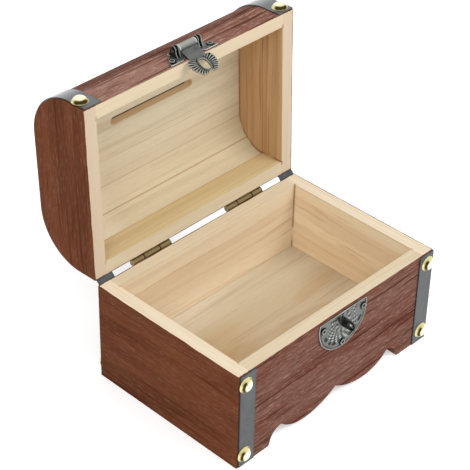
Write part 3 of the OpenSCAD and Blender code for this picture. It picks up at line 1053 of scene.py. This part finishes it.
def catch_surface(u, v, to_edge, *_):
    """Scrolls and leaves struck into the catch plate, with a worn rim."""
    r = math.hypot(u, v - STAPLE_Z)
    a = math.atan2(v - STAPLE_Z, u)
    rose = 0.6 * math.cos(9 * a + 1.2 * math.sin(r * 1.5)) * hump(r, *ROSE_RING)
    scroll = (math.sin(19 * a + 1.2 * r) * math.sin(2.3 * r)
              * smooth(r, *SCROLLS_IN) * (1 - smooth(r, *SCROLLS_OUT)))
    plain = smooth(abs(u), *PLAIN_SIDE) * smooth(v, *PLAIN_TOP)
    relief = 0.56 + 0.5 * (rose + scroll) * (1 - plain)
    relief *= 1 - max(
        dent(u, v, *round_catch(turn, LEAF_OUT), half_long, LEAF_HALF_W,
             math.radians(turn + 90)) for turn, half_long in LEAVES)
    relief *= 1 - 0.7 * hump(to_edge, 1.0, 0.5)
    # Painted shade round each nail head.
    relief *= 1 - painted_shade_round_nails(u, v, CATCH_NAILS)
    relief = max(relief, 0.95 * hump(to_edge, 0.2, 0.5))
    return 0.34 * (relief - 0.6), relief


def in_staple(u, v):
    run = STAPLE_OUT - STAPLE_H / 2 - LUG_CLEAR
    round_end = in_circle(u, v, -PLATE_T - run, STAPLE_Z, STAPLE_H / 2)
    shank = -PLATE_T - run < u < -PLATE_T / 2 and abs(v - STAPLE_Z) < STAPLE_H / 2
    return round_end or shank


def worn_face(dull, rim, bore):
    """A flat dull face, worn a little at its rim and at its bore."""
    def surface(u, v, to_edge, from_hole, angle):
        worn = max(rim * hump(to_edge, 0.0, 0.5), bore * hump(from_hole, 0.0, 0.4))
        return 0.0, max(dull, worn)
    return surface


def make_catch():
    plate = Shape()
    cast_plate(plate, lambda u, v, w: base_at(LATCH_X + u, -w, v), CATCH_MIDDLE,
               reach_of(in_catch, CATCH_MIDDLE), None, PLATE_T, catch_surface,
               spokes=288, rings=44)
    plate.stand_in("catch_scroll_plate", "base", "catch_plate")

    lug = Shape()
    centre = (-PLATE_T - STAPLE_OUT + STAPLE_H / 2, STAPLE_Z)
    cast_plate(lug, lambda u, v, w: base_at(LATCH_X - STAPLE_T / 2 + w, u, v),
               centre, reach_of(in_staple, centre), lambda a: LOCK_HOLE_R, STAPLE_T,
               worn_face(0.22, 0.55, 0.4), spokes=96, rings=5, edge=0.25,
               bore=0.15, worn=0.6)
    lug.stand_in("catch_lug", "base", "catch_staple")


# ---- Hasp ----

# The hasp plate is an arch with a block behind its ears and a recess below the
# tongue. Its cross-hatching goes by its pace, and by its middle and half width.
HASP_MIDDLE = (0, 6)
HASP_FOOT = 0.3
HASP_TOP = 12
HASP_R = 17.9
BLOCK_TOP = 11
BLOCK_HALF_W = EAR_GAP / 2 + EAR_W + 0.3
RECESS_HALF_W = 6.6
RECESS_TOP = 2.3
HATCH_PACE = 3.3
HATCH_AT = (10.9, 2.8)

# An ear is a pair of thin walls with a round end that reaches past the pin.
EAR_WALL = 0.8
EAR_END = -PIVOT_OUT - 0.8
EAR_END_R = 1.9
EAR_FLARE = 1.6


def in_hasp(u, v):
    arch = v > HASP_FOOT and in_circle(u, v, 0, HASP_TOP - HASP_R, HASP_R)
    block = abs(u) < BLOCK_HALF_W and HASP_FOOT < v < BLOCK_TOP
    recess = abs(u) < RECESS_HALF_W and v < RECESS_TOP
    return (arch or block) and not recess


def hasp_surface(u, v, to_edge, *_):
    """Cross-hatching beside the ears, a smooth field with painted shade round each
    nail, a worn rim.
    """
    hatch = math.sin(HATCH_PACE * (u + v)) * math.sin(HATCH_PACE * (u - v))
    relief = 0.54 + 1.3 * hatch * hump(abs(u), *HATCH_AT)
    relief *= 1 - 0.7 * hump(to_edge, 0.95, 0.45)
    # Painted shade round each nail head.
    relief *= 1 - 0.8 * painted_shade_round_nails(u, v, HASP_NAILS)
    relief = max(relief, 0.95 * hump(to_edge, 0.2, 0.5), 0.0)
    return 0.25 * (min(relief, 1.0) - 0.55), min(relief, 1.0)


def in_ear(u, v):
    """One side of an ear, from the plate out to the round end over the pin."""
    round_end = in_circle(u, v, EAR_END, PIVOT_UP, EAR_END_R)
    t = (u - EAR_END) / (-PLATE_T / 2 - EAR_END)
    tower = 0 <= t < 1 and abs(v - PIVOT_UP) < EAR_END_R + EAR_FLARE * t * t
    return round_end or tower


# The tongue: its oval hole, with a raised ring and a groove round it by their middle
# and half width, the flutes beyond them, which start between two heights and scallop
# its outline, and its neck, which narrows over a length.
HOLE_W = 4.8
HOLE_H = 7.2
HOLE_Z = -14.8
HOLE_RING = (0.55, 0.6)
HOLE_GROOVE = (1.35, 0.4)
FLUTES = 30
FLUTES_IN = (1.3, 1.8)
FLUTED = (-11.2, -9.4)
SCALLOP = 0.55
NECK_HALF_W = 5.8
NECK_TAPER = 0.8
NECK_L = 9.8

# How far a wing reaches from the middle of the hole, by degrees above level.
WING_REACH = (
    (-90, 4.6), (-78, 4.8), (-66, 6.4), (-56, 6.9), (-44, 7.5), (-30, 7.4), (-15, 8.0),
    (0, 8.6), (15, 9.1), (30, 9.2), (42, 7.8), (50, 5.0), (90, 4.0),
)


def in_hole(u, v):
    straight = (HOLE_H - HOLE_W) / 2
    off = max(abs(v - HOLE_Z) - straight, 0.0)
    return math.hypot(u, off) < HOLE_W / 2


def wing_reach(up):
    for (a0, r0), (a1, r1) in zip(WING_REACH, WING_REACH[1:]):
        if up <= a1:
            return r0 + (r1 - r0) * smooth(up, a0, a1)
    return WING_REACH[-1][1]


def in_tongue(u, v):
    """Neck and two wings of the tongue, with a notch between the wing tips."""
    if v > 0:
        return False
    side, up = abs(u), v - HOLE_Z
    neck = v > HOLE_Z and side < NECK_HALF_W - NECK_TAPER * min(v / -NECK_L, 1.0)
    return neck or math.hypot(side, up) < wing_reach(math.degrees(math.atan2(up, side)))


def fluted_at(v):
    """1 where the tongue is fluted, 0 on its neck."""
    return 1 - smooth(v, *FLUTED)


def flute(angle):
    return 0.5 + 0.5 * math.cos(FLUTES * angle)


def tongue_surface(u, v, to_edge, from_hole, angle):
    """A plain neck, a raised ring round the hole, and flutes out to the edge."""
    fluted = fluted_at(v)
    ring = hump(from_hole, *HOLE_RING)
    groove = hump(from_hole, *HOLE_GROOVE) * fluted
    spread = smooth(from_hole, *FLUTES_IN) * fluted
    relief = 0.56 * (1 - spread) + spread * (1.05 * flute(angle) - 0.08)
    relief *= 1 - 0.8 * groove
    relief = max(relief, 0.66 * ring * (0.4 + 0.6 * fluted))
    relief = max(relief, 0.9 * hump(from_hole, 0.1, 0.25) * fluted)
    rim = 0.3 * ring * (0.4 + 0.6 * fluted)
    return rim + 0.4 * spread * (flute(angle) - 0.7), max(relief, 0.0)


# The rolled end of the tongue: its half length, how its ends are rounded, how far in
# from them it is worn, and the degrees between its points.
ROLL_HALF = EAR_GAP / 2 - 0.3
ROLL_EDGE = 0.2
ROLL_WORN = 1
ROLL_TURN = 8


def make_hasp_plate():
    shape = Shape()
    cast_plate(shape, lambda u, v, w: lid_at(LATCH_X + u, -w, v), HASP_MIDDLE,
               reach_of(in_hasp, HASP_MIDDLE), None, PLATE_T, hasp_surface,
               spokes=240, rings=30)
    pivot = (-PIVOT_OUT, PIVOT_UP)
    for side in (-1, 1):
        for start in (EAR_GAP / 2, EAR_GAP / 2 + EAR_W - EAR_WALL):
            x = LATCH_X + (start if side > 0 else -start - EAR_WALL)
            cast_plate(shape, lambda u, v, w: lid_at(x + w, u, v), pivot,
                       reach_of(in_ear, pivot), lambda a: PIN_R, EAR_WALL,
                       worn_face(0.3, 1.0, 0.6), spokes=64, rings=4, edge=0.16)
    shape.stand_in("hasp_scroll_plate", "lid", "hasp_plate")


def make_tongue():
    shape = Shape()
    centre = (0, HOLE_Z)
    outline, hole = reach_of(in_tongue, centre), reach_of(in_hole, centre)

    def scalloped(angle):
        r = outline(angle)
        wing = fluted_at(HOLE_Z + r * math.sin(angle))
        return r - SCALLOP * wing * (1 - flute(angle))

    cast_plate(shape, lambda u, v, w: tongue_at(u, TONGUE_BACK - w, v), centre,
               scalloped, hole, TONGUE_T, tongue_surface, spokes=420, rings=16,
               edge=0.12, bore=0.7)
    half_roll = ((ROLL_HALF, PIN_R, 0.2), (ROLL_HALF, ROLL_R - ROLL_EDGE, 0.5),
                 (ROLL_HALF - ROLL_EDGE, ROLL_R, 0.9),
                 (ROLL_HALF - ROLL_WORN, ROLL_R, 0.55))
    left = [(-x, r, relief) for x, r, relief in half_roll]
    rows = []
    for x, r, relief in (*left, *reversed(half_roll)):
        row = []
        for degrees in range(0, 360, ROLL_TURN):
            c, s = math.cos(math.radians(degrees)), math.sin(math.radians(degrees))
            # Each point is painted brighter towards the top of the roll as the lid
            # stands open: a painted highlight.
            row.append(shape.point(tongue_at(x, r * c, r * s), relief - 0.3 * c))
        rows.append(row)
    shape.chain(rows + [rows[0]])
    shape.stand_in("hasp_fluted_tongue", "hasp", "hasp_tongue")


# ---- Straps over the hinge gap ----

# How far a bridge lies on the straps below and above it, how far its middle keeps
# from the hinge's axis, how much slimmer it is than they are on each side, and its
# steps.
BRIDGE_LAP = 1.5
BRIDGE_CLEAR = 1.0
BRIDGE_INSET_W = 0.15
BRIDGE_INSET_T = 0.05
BRIDGE_STEPS = 8


def bridge_line():
    """The middle of the leather from the base's back to the open lid's back."""
    back = BOX_D + STRAP_T / 2

    def on_base(z):
        return Vector((0, back, z))

    def on_lid(z):
        return lid_at(0, back, z) / MM + Vector((0, MID_Y, 0))

    low, foot = on_base(BASE_H - STRAP_END - BRIDGE_LAP), on_base(BASE_H - STRAP_END)
    far, top = on_lid(STRAP_END), on_lid(STRAP_END + BRIDGE_LAP)
    axis = Vector((0, HINGE_Y, HINGE_Z))
    middle = axis + ((foot + far) / 2 - axis).normalized() * BRIDGE_CLEAR
    pull = 2 * middle - (foot + far) / 2
    steps = [i / BRIDGE_STEPS for i in range(1, BRIDGE_STEPS)]
    curve = [(1 - t) ** 2 * foot + 2 * t * (1 - t) * pull + t * t * far for t in steps]
    return [low, foot, *curve, far, top]


def strap_bridge(side):
    """The leather that crosses the hinge gap at the back, from box to lid."""
    line = bridge_line()
    centre_x = STRAP_MIDDLE[side]
    half_w = STRAP_W / 2 - BRIDGE_INSET_W
    half_t = STRAP_T / 2 - BRIDGE_INSET_T
    shape = Shape()
    rings = []
    for i, point in enumerate(line):
        ahead = (line[min(i + 1, len(line) - 1)] - line[max(i - 1, 0)]).normalized()
        out = Vector((0, ahead.z, -ahead.y))
        ring = []
        for x, o in ((-1, -1), (1, -1), (1, 1), (-1, 1)):
            p = point + out * o * half_t
            ring.append(shape.point(base_at(centre_x + x * half_w, p.y, p.z)))
        rings.append(ring)
    shape.chain(rings)
    shape.mesh.faces.new(rings[0][::-1])
    shape.mesh.faces.new(rings[-1])
    piece = shape.piece("strap_bridge_" + side, LEATHER, "leather_strap")
    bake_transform(piece)


make_nails()
make_catch()
make_hasp_plate()
make_tongue()
strap_bridge("left")
strap_bridge("right")


# ---- Studio ----

WHITE = (1, 1, 1, 1)
WORLD_LIGHT = 0.62

# The floor's paint, its glow where it is seen, and half its width in metres.
FLOOR_WHITE = (0.9, 0.9, 0.9, 1)
FLOOR_GLOW = 0.45
FLOOR_HALF = 3.0

# Each lamp: its place and size in metres, and its power in watts.
LAMPS = (
    ("key light", (0.45, -0.95, 1.15), 0.8, 10.5),
    ("fill light", (-1.0, -0.7, 1.2), 0.7, 8.0),
)
LAMP_AIM = Vector((0, 0, 0.06))


def backdrop_rays(m):
    """1 for what the camera sees of the backdrop, directly or in a reflection."""
    path = m.node("ShaderNodeLightPath").outputs
    return m.math("MAXIMUM", path["Is Camera Ray"],
                  m.math("MAXIMUM", path["Is Glossy Ray"], path["Is Transmission Ray"]))


def make_world():
    """Soft even light, and white where the backdrop is seen."""
    world = bpy.data.worlds.new("studio")
    bpy.context.scene.world = world
    world.use_nodes = True
    world.node_tree.nodes.clear()
    m = Mixer(world.node_tree)
    seen = backdrop_rays(m)
    light = m.node("ShaderNodeBackground", {"Color": WHITE, "Strength": WORLD_LIGHT})
    white = m.node("ShaderNodeBackground", {"Color": WHITE, "Strength": 1.0})
    both = m.node("ShaderNodeMixShader", {
        0: seen, 1: light.outputs[0], 2: white.outputs[0]})
    m.node("ShaderNodeOutputWorld", {"Surface": both.outputs[0]})


def make_floor():
    """A white floor that keeps the box's shadow."""
    mesh = bpy.data.meshes.new("floor")
    shape = bmesh.new()
    bmesh.ops.create_grid(shape, x_segments=1, y_segments=1, size=FLOOR_HALF)
    shape.to_mesh(mesh)
    shape.free()
    floor = add_object("floor", mesh)
    material, m, skin = new_material("white_floor")
    skin["Base Color"].default_value = FLOOR_WHITE
    skin["Roughness"].default_value = 0.9
    skin["Emission Color"].default_value = WHITE
    m.feed(skin["Emission Strength"], m.times(backdrop_rays(m), FLOOR_GLOW))
    mesh.materials.append(material)


def make_lamps():
    for name, at, size, power in LAMPS:
        data = bpy.data.lights.new(name, "AREA")
        data.size = size
        data.energy = power
        lamp = add_object(name, data)
        lamp.location = at
        aim = LAMP_AIM - Vector(at)
        lamp.rotation_euler = aim.to_track_quat("-Z", "Y").to_euler()
        lamp.visible_glossy = False


bpy.context.scene.view_settings.view_transform = "Standard"
make_camera()
make_world()
make_floor()
make_lamps()
